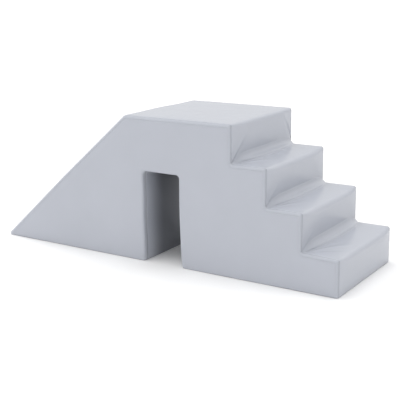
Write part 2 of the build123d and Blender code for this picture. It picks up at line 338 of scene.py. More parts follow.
def run_counts(corners):
    """How many steps each straight run takes."""
    lengths = [norm(b - a) for a, b in zip(corners, corners[1:])]
    return [max(LEAST_STEPS, round(length / SPACING)) for length in lengths]


RUNS = ["toe", "ramp", "ramp", "platform"] + ["riser", "tent", "tread"] * LOWER_TREADS + ["riser", "foot"]
TENTS = [run for run, name in enumerate(RUNS) if name == "tent"]
STEPS = {"toe": TOE_STEPS, "tent": TENT_STEPS}
COUNTS = [STEPS.get(name, count) for name, count in zip(RUNS, run_counts(outline(0)[0]))]


def crowned(places, inboard):
    """How far the stuffing pushes the cover out, at places along the outline."""
    total = np.zeros(len(places))
    first = 0
    for name, runs in groupby(RUNS):
        last = first + len(list(runs))
        share = np.clip((places - first) / (last - first), 0, 1)
        total += CROWN.get(name, 0) * 4 * share * (1 - share)
        first = last
    return total * ease(inboard / SOFT_TAPER)


def tent_swell(places, along, inboard):
    """Height of the soft ridges where the cover cuts across the inner corners."""
    at, height = zip(*TENT_RIDGE)
    total = np.zeros(len(places))
    for run in TENTS:
        on_run = (places >= run) & (places <= run + 1)
        total[on_run] = np.ptp(along[on_run]) * np.interp(places[on_run] - run, at, height)
    return total * ease(inboard / SOFT_TAPER)


def ripple(u, v):
    """A slow, even unevenness from -1 to 1 over a surface, with waves 100 to 300 mm long."""
    waves = ((21.3, 11.9, 0.3), (-13.7, 27.1, 2.1), (37.1, -8.3, 4.4), (9.1, -41.9, 1.2), (31.7, 33.1, 5.3))
    return sum(np.sin(a * u + b * v + c) for a, b, c in waves) / len(waves)


def pucker(along, from_seam):
    """Small gathers where the thread pulls the cover, dying away from the seam."""
    long, short, wander = (along * per_metre for per_metre in (197, 311, 23))
    wave = np.sin(long + 1.7 * np.sin(wander)) + 0.6 * np.sin(short)
    return PUCKER_HEIGHT * wave * np.exp(-from_seam / PUCKER_REACH)


def folds(step, across, along):
    """Height of the folds about one inner corner, at points across the cover and along it."""
    total = np.zeros(np.broadcast(across, along).shape)
    for at_step, start, end, half_width, height in FOLDS:
        if at_step != step:
            continue
        (a0, u0), (a1, u1) = np.array(start) * MM, np.array(end) * MM
        da, du = a1 - a0, u1 - u0
        t = np.clip(((across - a0) * da + (along - u0) * du) / (da * da + du * du), 0, 1)
        away = np.hypot(across - a0 - t * da, along - u0 - t * du)
        width = half_width * MM * (FOLD_START + (1 - FOLD_START) * t)
        total += height * MM * np.exp(-((away / width) ** 2)) * (1 - t * t)
    return total


def linked(name, data):
    """A new object in the scene."""
    made = bpy.data.objects.new(name, data)
    bpy.context.scene.collection.objects.link(made)
    return made


def placed(name, mesh, look, body):
    """A mesh object that rides on a body."""
    mesh.materials.append(look)
    piece = linked(name, mesh)
    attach(piece, body)
    return piece


def new_piece(name, points, faces, look):
    """A smooth piece of the block."""
    mesh = bpy.data.meshes.new(name)
    mesh.from_pydata([tuple(p) for p in points], [], faces)
    mesh.shade_smooth()
    return placed(name, mesh, look, "block")


def grid_faces(rows, columns, flip=False, first=0):
    """Quads between rows of points that were listed row by row."""
    faces = []
    for r in range(rows - 1):
        for c in range(columns - 1):
            a = first + r * columns + c
            quad = (a, a + 1, a + columns + 1, a + columns)
            faces.append(quad[::-1] if flip else quad)
    return faces


def tube_faces(rings, sides, first=0, flip=False):
    """Quads between rings of points that were listed ring by ring, and a cap on each end."""
    faces = []
    for start in range(first, first + (rings - 1) * sides, sides):
        for k in range(sides):
            a, b = start + k, start + (k + 1) % sides
            faces.append((a, b, b + sides, a + sides))
    end = first + (rings - 1) * sides
    faces += [tuple(reversed(range(first, first + sides))), tuple(range(end, end + sides))]
    return [face[::-1] for face in faces] if flip else faces


def roll_under(points, outward):
    """Turns what is below ROLL inward, so that the cover's cut edge comes to lie flat on the floor."""
    low = points[:, 2] < ROLL
    angle = (ROLL - points[low, 2]) / ROLL
    points[low, 2] = ROLL - ROLL * np.sin(angle)
    points[low, :2] -= outward[low] * (ROLL * (1 - np.cos(angle)))[:, None]


def thicken(piece, thickness=SKIN):
    """Gives a sheet its thickness, inward from the face that shows."""
    solid = piece.modifiers.new("thickness", "SOLIDIFY")
    solid.thickness = thickness
    solid.offset = -1


def stand_in(piece, node):
    """Shows a piece instead of a node, which it hides."""
    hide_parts(node)
    return piece


class Sheet:
    """A sheet of the cover in the making: its points, the way each faces in plan, and the shade painted on
    it.
    """

    def __init__(self):
        self.points, self.outward, self.painted_shade = [], [], []

    def add(self, line, y, out_x, out_y, painted_shade):
        """Adds points given in the side view, at y."""
        zeros = np.zeros(len(line))
        self.points.append(np.insert(line, 1, y, axis=1))
        self.outward.append(np.stack([zeros + out_x, zeros + out_y], axis=1))
        self.painted_shade.append(zeros + painted_shade)

    def finish(self, name, faces, look, leaning=True):
        points = np.concatenate(self.points)
        roll_under(points, np.concatenate(self.outward))
        if leaning:
            lean(points)
        piece = new_piece(name, points, faces, look)
        attribute = piece.data.attributes.new("painted_shade", "FLOAT", "POINT")
        attribute.data.foreach_set("value", np.concatenate(self.painted_shade).astype(np.float32))
        thicken(piece)
        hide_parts(name.replace("cover_", ""))
        return piece


def top_band(look):
    """The strip of cover over the toe, the ramp, the platform and the steps."""
    lips = [(at * MM, depth * MM) for at, depth in LIP]
    reach = SEAM_Y - lips[-1][0]
    rows = [(-SEAM_Y + at, depth) for at, depth in lips]
    rows += [(y, 0) for y in np.linspace(-reach, reach, BAND_ROWS + 2)[1:-1]]
    rows += [(SEAM_Y - at, depth) for at, depth in reversed(lips)]
    sheet = Sheet()
    for y, depth in rows:
        line, out, places = rounded(*outline(y), COUNTS)
        along = distance_along(line)
        inboard = SEAM_Y - abs(y)
        lift = crowned(places, inboard) + tent_swell(places, along, inboard) + pucker(along, inboard)
        lift += UNEVEN * ripple(along, y) * ease(inboard / SOFT_TAPER)
        for step, run in enumerate(TENTS):
            middle = along[(places >= run) & (places < run + 1)].mean()
            lift += folds(step, y + SEAM_Y, along - middle)
        # painted shade, deeper down into the seam's groove
        painted_shade = LIP_SHADE * smooth_step(depth / (SEAM_DEPTH * MM))
        sheet.add(line + out * (lift - depth)[:, None], y, out[:, 0], 0, painted_shade)
    return sheet.finish("cover_top_band", grid_faces(len(rows), len(line)), look, leaning=False)


def tunnel_outline():
    """Corners and radii of the tunnel's opening, up one wall and down the other."""
    up, down = [[(x, z) for z in (BOTTOM, ROLL, TUNNEL_TOP)] for x in (TUNNEL_LOW_X, TUNNEL_HIGH_X)]
    return [np.array(c) for c in up + down[::-1]], [0, 0, TUNNEL_RADIUS, TUNNEL_RADIUS, 0, 0]


def lean(points):
    """Lets the tunnel's walls stand a little out of true, as soft foam does."""
    x, z = points[:, 0], points[:, 2]
    near_low = np.exp(-(((x - TUNNEL_LOW_X) / LEAN_REACH) ** 2))
    near_high = np.exp(-(((x - TUNNEL_HIGH_X) / LEAN_REACH) ** 2))
    (low_height, low_waves), (high_height, high_waves) = LOW_WALL_RIPPLE, HIGH_WALL_RIPPLE
    low = LOW_WALL_BOW * np.sin(np.pi * np.clip(z / TUNNEL_TOP, 0, 1)) + low_height * np.sin(z * low_waves)
    high = HIGH_WALL_LEAN * (np.exp(-z / HIGH_WALL_FOOT) - 1) + high_height * np.sin(z * high_waves)
    points[:, 0] += near_low * low + near_high * high


def fill(boundary, extra):
    """Triangles that fill a closed outline in the side view, through the extra points inside it."""
    flat = [Vector(p) for p in boundary] + [Vector(p) for p in extra]
    verts, _, faces, *_ = delaunay_2d_cdt(flat, [], [list(range(len(boundary)))], 1, 1e-7)
    return np.array([tuple(v) for v in verts]), faces


def clear_of(points, others, distance):
    """The points that are at least that far from all the others."""
    gaps = norm(points[:, None] - others[None], axis=2).min(axis=1)
    return points[gaps > distance]


def side_panel(side, name, look):
    """One side of the cover: a rolled rim, the face, and the tunnel's turned-in mouth."""
    corners, radii = outline(side * SEAM_Y)
    sheet = Sheet()
    for inset, depth in RIM:
        line, out, _ = rounded(*moved_in(corners, radii, inset * MM), COUNTS)
        edge_on = 1 if depth > RIM_FACE else 0
        # painted shade: full where the rim is out of sight, and a little near the seam
        painted_rim_shade = 1 if depth > RIM_HIDDEN else RIM_SHADE * smooth_step(1 - (inset - RIM_START) / RIM_REACH)
        sheet.add(line, side * (SIDE_Y - depth * MM), out[:, 0] * edge_on, side * (1 - edge_on), painted_rim_shade)
    faces = grid_faces(len(RIM), len(line), flip=side > 0)
    inner, first = line, len(RIM) * len(line)
    courses = np.gradient(np.array(MOUTH), axis=0)
    for (out_by, depth), (across, back) in zip(MOUTH, courses / norm(courses, axis=1)[:, None]):
        line, out, _ = rounded(*moved_in(*tunnel_outline(), -out_by * MM), TUNNEL_COUNTS)
        sheet.add(line, side * (SIDE_Y - depth * MM), out[:, 0] * back, side * across, 0)
    faces += grid_faces(len(MOUTH), len(line), flip=side > 0, first=first)
    mouth, first = line, first + len(MOUTH) * len(line)

    foot_edge = bottom_edge(inner[-1][0], mouth[-1][0])
    toe_edge = bottom_edge(mouth[0][0], inner[0][0])
    boundary = np.concatenate([inner, foot_edge, mouth[::-1], toe_edge])
    x = np.arange(TOE_X, FOOT_X, PANEL_SPACING)
    low = np.array([(a, z * MM) for z in PANEL_FOOT_ROWS for a in x])
    grid = np.array([(a, z) for z in np.arange(PANEL_GRID_FOOT, HEIGHT, PANEL_SPACING) for a in x])
    extra = [clear_of(rows, boundary, gap) for rows, gap in zip((low, grid), PANEL_CLEAR)]
    flat, triangles = fill(boundary, np.concatenate(extra))
    z, from_edge = flat[:, 1], np.array([norm(boundary - p, axis=1).min() for p in flat])
    crown = PANEL_CROWN * ease(from_edge / PANEL_CROWN_TAPER) * ease(z / PANEL_FOOT_TAPER)
    uneven = UNEVEN * ripple(flat[:, 0] + side, z) * ease(from_edge / SOFT_TAPER)
    dip = HEM_DIP * np.exp(-(((z - HEM_Z) / HEM_DIP_WIDTH) ** 2)) * (from_edge > 1 * MM)
    sheet.add(flat, side * (SIDE_Y + crown + uneven - dip), 0, side, 0)
    faces += [[first + i for i in triangle][::-side] for triangle in triangles]
    piece = sheet.finish(name, faces, look)
    join_edges(piece, side)
    return piece


def bottom_edge(start, end):
    """Points along the cover's lower edge, between two ends that other loops already hold."""
    x = np.linspace(start, end, max(2, round(abs(end - start) / PANEL_SPACING)))[1:-1]
    return np.stack([x, np.full(len(x), BOTTOM)], axis=1)


def join_edges(piece, side):
    """Joins points that lie on each other, where parts of a panel meet, and faces it outward."""
    mesh = bmesh.new()
    mesh.from_mesh(piece.data)
    bmesh.ops.remove_doubles(mesh, verts=mesh.verts, dist=JOIN_GAP)
    bmesh.ops.recalc_face_normals(mesh, faces=mesh.faces)
    if sum(f.normal.y * f.calc_area() for f in mesh.faces) * side < 0:
        bmesh.ops.reverse_faces(mesh, faces=mesh.faces)
    mesh.to_mesh(piece.data)
    mesh.free()


def tunnel_lining(look):
    """The sleeve of cover through the tunnel, from one mouth to the other, with painted shade deep inside.
    """
    end = SIDE_Y - MOUTH[0][1] * MM
    edge = [(end - at * MM, height) for at, height in LINING_EDGE]
    rows = [(-y, height) for y, height in edge]
    rows += [(y, 0) for y in np.linspace(LINING_START - end, end - LINING_START, LINING_ROWS)]
    rows += reversed(edge)
    sheet = Sheet()
    for y, height in rows:
        line, out, places = rounded(*tunnel_outline(), TUNNEL_COUNTS)
        # painted shade: darker deep in the tunnel, most under its ceiling
        deep = smooth_step((end - abs(y)) / SHADE_TAPER[-1 if y < 0 else 1])
        painted_shade = deep * (FOOT_SHADE + (1 - FOOT_SHADE) * line[:, 1] / TUNNEL_TOP)
        fraction = places % 1
        free = ease((end - abs(y)) / LINING_TAPER)
        sag = LINING_SAG * np.sqrt(4 * fraction * (1 - fraction)) * free
        sag += LINING_UNEVEN * ripple(distance_along(line) + 2, y) * free - height * MM
        sheet.add(line - out * sag[:, None], y, -out[:, 0], 0, painted_shade)
    return sheet.finish("cover_tunnel_lining", grid_faces(len(rows), len(line), flip=True), look)


def sew(name, lines, cloth, look):
    """Rows of single stitches, laid on a piece of the cover along lines near its face."""
    mesh = cloth.data
    tree = BVHTree.FromPolygons([v.co for v in mesh.vertices], [p.vertices for p in mesh.polygons])
    points, faces = [], []
    for line in lines:
        along = distance_along(line)
        for at in np.arange(STITCH_PITCH, along[-1] - STITCH_PITCH / 2, STITCH_PITCH):
            ends = [[np.interp(a, along, line[:, i]) for i in range(3)] for a in (at, at + STITCH_LENGTH)]
            here, there = map(Vector, ends)
            spot, normal, _, _ = tree.find_nearest(here)
            ahead = (there - here).normalized()
            across = normal.cross(ahead).normalized()
            faces += tube_faces(len(STITCH), STITCH_SIDES, len(points))
            for share, girth in STITCH:
                for angle in circle(STITCH_SIDES):
                    aside = across * cos(angle) * STITCH_WIDTH * girth
                    up = normal * (sin(angle) * STITCH_HEIGHT * girth + STITCH_LIFT)
                    points.append(spot + ahead * STITCH_LENGTH * share + aside + up)
    return new_piece(name, points, faces, look)


def panel_stitch_lines(side):
    """Along the rim of a side panel, and a little above the floor under each leg."""
    line, _, _ = rounded(*moved_in(*outline(side * SEAM_Y), STITCH_INSET), COUNTS)
    line = line[line[:, 1] > STITCH_INSET]
    lines = [np.insert(line, 1, side * SIDE_Y, axis=1)]
    toe, low_wall, high_wall, foot = HEM_STOPS
    for low, high in ((TOE_X + toe, TUNNEL_LOW_X - low_wall), (TUNNEL_HIGH_X + high_wall, FOOT_X - foot)):
        lines.append(np.array([(low, side * SIDE_Y, HEM_Z), (high, side * SIDE_Y, HEM_Z)]))
    return lines


def slab(corners, low, high, bevel, upright=False):
    """A bevelled prism: corners are in plan, or in the side view if it is upright and then runs across."""
    mesh = bmesh.new()
    place = (lambda a, b, c: (a, c, b)) if upright else (lambda a, b, c: (a, b, c))
    face = mesh.faces.new([mesh.verts.new(place(a, b, low)) for a, b in corners])
    extruded = bmesh.ops.extrude_face_region(mesh, geom=[face])["geom"]
    moving = [v for v in extruded if isinstance(v, bmesh.types.BMVert)]
    bmesh.ops.translate(mesh, verts=moving, vec=place(0, 0, high - low))
    if bevel:
        bmesh.ops.bevel(mesh, geom=mesh.edges[:], offset=bevel, segments=3, profile=0.5, affect="EDGES")
    bmesh.ops.recalc_face_normals(mesh, faces=mesh.faces)
    data = bpy.data.meshes.new("slab")
    mesh.to_mesh(data)
    mesh.free()
    return data


def rectangle(x0, x1, y0, y1):
    return [(x0, y0), (x1, y0), (x1, y1), (x0, y1)]


def joined(name, parts, look, body="block"):
    """One object made of several closed meshes."""
    mesh = bmesh.new()
    for part in parts:
        mesh.from_mesh(part)
        bpy.data.meshes.remove(part)
    data = bpy.data.meshes.new(name)
    mesh.to_mesh(data)
    mesh.free()
    data.shade_smooth()
    data.set_sharp_from_angle(angle=radians(40))
    return placed(name, data, look, body)


def foam_outline(level, low_x, high_x):
    """The side view of one course of foam, a little inside the cover."""
    bottom = level * RISER - FOAM_INSET + FOAM_JOINT if level else FOAM_GAP
    top = (level + 1) * RISER - FOAM_INSET
    slope = (HEIGHT - TOE_HEIGHT) / (CREST_X - TOE_X)
    shift = FOAM_INSET / sin(atan(slope))
    left = [(TOE_X + (z - TOE_HEIGHT) / slope + shift, z) for z in (bottom, top)]
    right = EDGE_X + (LOWER_TREADS - level) * TREAD - FOAM_INSET
    if level == 0:
        start = TOE_X + FOAM_INSET
        left = [(start, bottom), (start, TOE_HEIGHT + (start - TOE_X - shift) * slope), left[1]]
    left = left if low_x is None else [(low_x, bottom), (low_x, top)]
    tip = [(right - FOAM_NOSE * (1 - sin(a)), top - FOAM_NOSE * (1 - cos(a))) for a in QUARTER]
    right_side = tip + [(right, bottom)] if high_x is None else [(high_x, top), (high_x, bottom)]
    shape = left + right_side
    if level == TUNNEL_LEVEL:
        low, high = TUNNEL_LOW_X - FOAM_INSET, TUNNEL_HIGH_X + FOAM_INSET
        ceiling = TUNNEL_TOP + FOAM_INSET
        shape += [(high, bottom), (high, ceiling), (low, ceiling), (low, bottom)]
    return shape


def cut(piece, low, high):
    """Takes a box away from a piece."""
    corners = rectangle(low[0], high[0], low[1], high[1])
    cutter = linked("cutter", slab(corners, low[2], high[2], 0))
    boolean = piece.modifiers.new("groove", "BOOLEAN")
    boolean.object = cutter
    view = bpy.context.evaluated_depsgraph_get()
    data = bpy.data.meshes.new_from_object(piece.evaluated_get(view))
    piece.modifiers.clear()
    piece.data = data
    bpy.data.objects.remove(cutter)


def foam_course(node, level, look, low_x=None, high_x=None, zip_ends=None):
    """One block of foam, with a groove in its underside where a zip presses in."""
    half = BAND_HIGH.y - FOAM_INSET + SKIN
    corners = foam_outline(level, low_x, high_x)
    piece = joined(f"core_{node}", [slab(corners, -half, half, FOAM_BEVEL, upright=True)], look)
    if zip_ends:
        groove_low = (zip_ends[0], -GROOVE_WIDTH / 2, -FOAM_INSET)
        cut(piece, groove_low, (zip_ends[1], GROOVE_WIDTH / 2, GROOVE_HEIGHT))
    return stand_in(piece, node)


def base_half(leg, side_name, side, low_x, high_x, zip_low, zip_high, look):
    """Half of the base under one leg: flat on its dots, and turned up as a hem along the zip."""
    x = np.linspace(low_x, high_x, round((high_x - low_x) / SPACING))
    opening = smooth_step((x - zip_low) / (2 * ZIP_END) + 0.5)
    opening *= smooth_step((zip_high - x) / (2 * ZIP_END) + 0.5)
    edge = HEM_SHUT + (HEM_EDGE - HEM_SHUT) * opening
    section = [(0, HEM_TOP), (0, 0.75 * HEM_TOP), (0, 0.5 * HEM_TOP)]
    section += [(HEM_BEND * (1 - cos(a)), DOT_HEIGHT + HEM_BEND * (1 - sin(a))) for a in QUARTER]
    rows = [np.stack([x, side * (edge + out), np.full(len(x), z)], axis=1) for out, z in section]
    start, outer = edge + HEM_BEND, SIDE_Y - ROLL + BASE_TUCK
    for share in np.linspace(0, 1, BASE_ROWS + 1)[1:]:
        y = side * (start + (outer - start) * share)
        free = smooth_step(share / BASE_TAPER) * smooth_step((1 - share) / BASE_TAPER)
        z = DOT_HEIGHT + BASE_UNEVEN * (1 + ripple(x * 2, y * 2)) * free
        rows.append(np.stack([x, y, z], axis=1))
    name = f"{leg}_base_cloth_{side_name}"
    faces = grid_faces(len(rows), len(x), flip=side > 0)
    piece = new_piece(name, np.concatenate(rows), faces, look)
    thicken(piece)
    return stand_in(piece, f"{leg}_base_{side_name}")


def grip_dots(leg, side_name, side, low_x, high_x, look):
    """Small rubbery domes all over the underside, in staggered rows."""
    points, faces = [], []
    for row, y in enumerate(np.arange(2 * DOT_MARGIN, SIDE_Y - DOT_MARGIN, DOT_PITCH * DOT_ROWS)):
        start = low_x + DOT_PITCH * (DOT_ROWS + DOT_STAGGER * (row % 2))
        for x in np.arange(start, high_x - DOT_MARGIN, DOT_PITCH):
            faces += tube_faces(len(DOT), DOT_SIDES, len(points), flip=side > 0)
            for share, height in DOT:
                for angle in circle(DOT_SIDES):
                    dx, dy = DOT_RADIUS * share * cos(angle), DOT_RADIUS * share * sin(angle)
                    points.append((x + dx, side * (y + dy), (DOT_HEIGHT + DOT_ROOT) * height))
    piece = new_piece(f"{leg}_base_dots_{side_name}", points, faces, look)
    return piece


def zip_tape(leg, side_name, side, look):
    """A woven tape with a corded inner edge."""
    node = f"{leg}_zip_tape_{side_name}"
    low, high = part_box(node)
    near, far = sorted((abs(low.y), abs(high.y)))
    x = np.linspace(low.x, high.x, round((high.x - low.x) / SPACING))
    rows = []
    for share in TAPE_SHARES:
        bead = CORD_HEIGHT * sin(pi * min(share / CORD_SHARE, 1))
        y = side * (near + (far - near) * share)
        wave = TAPE_WAVE * np.sin(x * TAPE_WAVE_TURN + share * 5) * min(1, share * 3)
        rows.append(np.stack([x, np.full(len(x), y), low.z - bead + wave], axis=1))
    faces = grid_faces(len(rows), len(x), flip=side > 0)
    piece = new_piece(node.replace("tape", "woven_tape"), np.concatenate(rows), faces, look)
    thicken(piece, high.z - low.z)
    return stand_in(piece, node)


def zip_coil(leg, side_name, side, look):
    """One continuous wire wound into flattened turns."""
    node = f"{leg}_zip_coil_{side_name}"
    low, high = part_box(node)
    turns = int((high.x - low.x - 2 * WIRE) / WIRE_PITCH)
    centre = (low + high) / 2
    half_y, half_z = (high.y - low.y) / 2 - WIRE, (high.z - low.z) / 2 - WIRE
    angle = 2 * pi * np.arange(turns * WIRE_STEPS + 1) / WIRE_STEPS
    path_x = low.x + WIRE + WIRE_PITCH * angle / (2 * pi)
    path_y = centre.y + side * half_y * squared(np.cos(angle), WIRE_SQUARENESS)
    path = np.stack([path_x, path_y, centre.z + half_z * np.sin(angle)], axis=1)
    ahead = np.gradient(path, axis=0)
    ahead /= norm(ahead, axis=1)[:, None]
    aside = np.cross(ahead, np.array([1.0, 0, 0]))
    aside /= norm(aside, axis=1)[:, None]
    other = np.cross(ahead, aside)
    rings = [path + WIRE * (aside * cos(a) + other * sin(a)) for a in circle(WIRE_SIDES)]
    points = np.stack(rings, axis=1).reshape(-1, 3)
    faces = tube_faces(len(path), WIRE_SIDES)
    stand_in(new_piece(node.replace("coil", "coil_wire"), points, faces, look), node)


def squared(value, power):
    """A cosine or sine made squarer, with its sign kept."""
    return np.abs(value) ** power * np.sign(value)


def zip_stops(leg, look):
    """Crimped metal stops at both ends of the coils."""
    node = f"{leg}_zip_stops"
    low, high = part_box(node)
    coil_low, coil_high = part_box(f"{leg}_zip_coil_far")
    ends = [low.x, high.x - STOP_LENGTH]
    wide_x, pair_x = ends if leg == "ramp" else reversed(ends)
    parts = []
    for x, near, far in (
        (wide_x, low.y, high.y),
        (pair_x, coil_low.y, coil_high.y),
        (pair_x, -coil_high.y, -coil_low.y),
    ):
        parts.append(slab(rectangle(x, x + STOP_LENGTH, near, far), low.z, high.z, STOP_BEVEL))
    stand_in(joined(f"{leg}_zip_crimped_stops", parts, look), node)


def zip_slider(leg, closes, look):
    """Two plates with side flanges, a web between them and an arched bridge that holds the pull."""
    node = f"{leg}_zip_slider"
    low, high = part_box(node)
    middle, half, reach = (low.x + high.x) / 2, high.y, (high.x - low.x) / 2
    plan = [(middle + closes * reach * a, half * b) for a, b in SLIDER_PLAN]
    plan += [(a, -b) for a, b in reversed(plan)]
    floor_z = high.z - SLIDER_HEIGHT
    web_x = [middle + closes * x for x in WEB_ENDS]
    parts = [
        slab(plan, floor_z, floor_z + PLATE, PLATE_BEVEL),
        slab(plan, high.z - PLATE, high.z, PLATE_BEVEL),
        slab(rectangle(*web_x, -WEB_HALF, WEB_HALF), floor_z + PLATE / 2, high.z - PLATE / 2, 0),
    ]
    flange_x = [middle + closes * reach * share for share in FLANGE_ENDS]
    for side in (-1, 1):
        flange = rectangle(*flange_x, *(side * (half - inset) for inset in FLANGE_INSETS))
        parts.append(slab(flange, floor_z + FLANGE_FOOT, high.z - FLANGE_DROP, FLANGE_BEVEL))
    angles = [pi * (1 + k / BRIDGE_STEPS) for k in range(BRIDGE_STEPS + 1)]
    depth = floor_z - low.z
    arch = [on_arch(middle, floor_z, BRIDGE_REACH, depth, a) for a in angles]
    inside = BRIDGE_REACH - BRIDGE_WIDTH, depth - BRIDGE_WIDTH
    arch += [on_arch(middle, floor_z, *inside, a) for a in reversed(angles)]
    parts.append(slab(arch, -BRIDGE_HALF, BRIDGE_HALF, BRIDGE_BEVEL, upright=True))
    stand_in(joined(f"{leg}_zip_slider_body", parts, look, f"{leg}_slider"), node)


def on_arch(x, z, half_x, half_z, angle):
    """A point on a squarish arch, whose two ends sink into the plate."""
    c, s = cos(angle), sin(angle)
    sunk = BRIDGE_SINK if abs(s) < 0.01 else 0
    return x + half_x * squared(c, BRIDGE_SQUARENESS), z + half_z * squared(s, BRIDGE_SQUARENESS) + sunk


def zip_pull(leg, towards, look):
    """A flat tab with a hole in its round tip, on a pin that sits in the slider's bridge."""
    node = f"{leg}_zip_pull"
    low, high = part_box(node)
    half = high.y
    pivot_x = (low.x if towards > 0 else high.x) + towards * PIN_RADIUS
    tip = high.x - low.x - PIN_RADIUS - half
    middle_z = (low.z + high.z) / 2
    outer, inner = [], []
    for angle in circle(TAB_STEPS):
        c, s = sin(angle), -cos(angle)
        inner.append((tip + TAB_HOLE * c, TAB_HOLE * s))
        reach = half
        if c < -TINY:
            reach = min((tip - TAB_START) / -c, half / max(abs(s), TINY))
        outer.append((tip + reach * c, reach * s))
    parts = [ring(outer, inner, pivot_x, towards, middle_z)]
    bar_x = [pivot_x + towards * x for x in BAR_ENDS]
    for side in (-1, 1):
        bar = rectangle(*bar_x, *sorted(side * y for y in BAR_SIDES))
        parts.append(slab(bar, middle_z - TAB_HALF, middle_z + TAB_HALF, TAB_EASE))
    pin = [(pivot_x + PIN_RADIUS * cos(a), middle_z + PIN_RADIUS * sin(a)) for a in circle(PIN_SIDES)]
    parts.append(slab(pin, -BAR_SIDES[1], BAR_SIDES[1], 0, upright=True))
    stand_in(joined(f"{leg}_zip_pull_tab", parts, look, f"{leg}_pull"), node)


def away_from(centre, loop):
    """The directions from a centre to each point of a loop."""
    return (loop - centre) / norm(loop - centre, axis=1)[:, None]


def ring(outer, inner, pivot_x, towards, middle_z):
    """A flat plate with a hole, its rims eased: loops from the hole round the edge and back."""
    centre = np.mean(inner, axis=0)
    outer, inner = np.array(outer), np.array(inner)
    pull_in = outer - TAB_EASE * away_from(centre, outer)
    push_out = inner + TAB_EASE * away_from(centre, inner)
    eased = TAB_HALF - TAB_EASE
    loops = [(push_out, TAB_HALF), (pull_in, TAB_HALF), (outer, eased), (outer, -eased)]
    loops += [(pull_in, -TAB_HALF), (push_out, -TAB_HALF), (inner, -eased), (inner, eased)]
    points = [(pivot_x + towards * a, b, middle_z + z) for loop, z in loops for a, b in loop]
    count, faces = len(outer), []
    for i in range(len(loops)):
        for k in range(count):
            a, b = i * count + k, i * count + (k + 1) % count
            after = ((i + 1) % len(loops) - i) * count
            faces.append((a, a + after, b + after, b))
    data = bpy.data.meshes.new("ring")
    data.from_pydata(points, [], faces)
    mesh = bmesh.new()
    mesh.from_mesh(data)
    bmesh.ops.recalc_face_normals(mesh, faces=mesh.faces)
    mesh.to_mesh(data)
    mesh.free()
    return data


# ---- materials
# DEEP_SHADE: the vinyl's brightness where its painted shade is full
DEEP_SHADE = 0.38  # brightness of the vinyl where its dark is full


class Nodes:
    """A small helper for writing the nodes of a material or a world as nested calls."""

    def __init__(self, owner, shader="Principled BSDF"):
        owner.use_nodes = True
        self.owner, self.tree = owner, owner.node_tree
        self.shader = self.tree.nodes[shader]

    def add(self, kind, inputs=None, **settings):
        node = self.tree.nodes.new("ShaderNode" + kind)
        for key, value in settings.items():
            setattr(node, key, value)
        for key, value in (inputs or {}).items():
            self.give(node, key, value)
        return node

    def give(self, node, key, value):
        if isinstance(value, bpy.types.NodeSocket):
            self.tree.links.new(value, node.inputs[key])
        else:
            node.inputs[key].default_value = value

    def place(self):
        return self.add("TexCoord").outputs["Object"]

    def noise(self, scale, detail):
        settings = {"Vector": self.place(), "Scale": scale, "Detail": detail}
        return self.add("TexNoise", settings).outputs["Fac"]

    def spread(self, value, low, high):
        """A value from 0 to 1, spread from low to high."""
        settings = {"Value": value, "To Min": low, "To Max": high}
        return self.add("MapRange", settings).outputs["Result"]

    def product(self, a, b):
        return self.add("Math", {0: a, 1: b}, operation="MULTIPLY").outputs[0]

    def mixed(self, factor, a, b):
        return self.add("Mix", {"Factor": factor, "A": a, "B": b}).outputs["Result"]

    def finish(self, colour, shade, roughness, height, strength, distance, **others):
        """Gives the shader its colour times shade, its roughness, a bump by height, and other settings."""
        tint = self.add("VectorMath", {0: colour, "Scale": shade}, operation="SCALE").outputs[0]
        bump = self.add("Bump", {"Height": height, "Strength": strength, "Distance": distance})
        looks = {"Base Color": tint, "Roughness": roughness, "Normal": bump.outputs["Normal"]}
        for key, value in {**looks, **others}.items():
            self.give(self.shader, key, value)
        return self.owner


def vinyl(name, colour):
    """Coated fabric: fine leather grain, a satin face, and painted shade in the seams and deep in the
    tunnel.
    """
    n = Nodes(bpy.data.materials.new(name))
    painted_shade = n.add("Attribute", attribute_name="painted_shade").outputs["Fac"]
    clouds = n.spread(n.noise(scale=7.0, detail=3.0), 0.965, 1.03)
    rough = n.spread(n.noise(scale=24.0, detail=2.0), 0.17, 0.25)
    cells = {"Vector": n.place(), "Scale": 850.0, "Randomness": 0.9}
    cells = n.add("TexVoronoi", cells, feature="DISTANCE_TO_EDGE").outputs["Distance"]
    pebble = n.add("MapRange", {"Value": cells, "From Max": 0.25}).outputs["Result"]
    grain = n.mixed(0.3, pebble, n.noise(scale=2600.0, detail=2.0))
    # the colour is scaled by random clouds and by the painted shade
    shade = n.product(clouds, n.spread(painted_shade, 1.0, DEEP_SHADE))
    return n.finish(colour, shade, rough, grain, strength=0.35, distance=0.05 * MM, IOR=1.5)


def woven(name, colour, threads):
    """Plain woven cloth, with threads to the metre, its hollows painted darker and its crowns lighter."""
    n = Nodes(bpy.data.materials.new(name))
    wave = {"Vector": n.place(), "Scale": threads}
    warp = n.add("TexWave", wave, bands_direction="X").outputs["Fac"]
    weft = n.add("TexWave", wave, bands_direction="Y").outputs["Fac"]
    height = n.mixed(0.35, n.product(warp, weft), n.noise(scale=900.0, detail=2.0))
    # painted shade and light: the colour follows the weave's height, darker in its hollows and lighter on
    # its crowns
    shade = n.spread(height, 0.7, 1.15)
    return n.finish(colour, shade, 0.85, height, strength=0.5, distance=0.15 * MM)


def speckled(name, colour, roughness, scale, depth, metallic=0.0):
    """A plain finish with a fine uneven surface: foam cells, moulded plastic or tumbled metal, with painted
    shade in its pits.
    """
    n = Nodes(bpy.data.materials.new(name))
    cell = n.noise(scale, detail=4.0)
    rough = n.spread(cell, roughness - 0.06, roughness + 0.06)
    # painted shade: the colour follows the bump, darker in its pits
    shade = n.spread(cell, 0.85, 1.1)
    return n.finish(colour, shade, rough, cell, strength=0.6, distance=depth, Metallic=metallic)


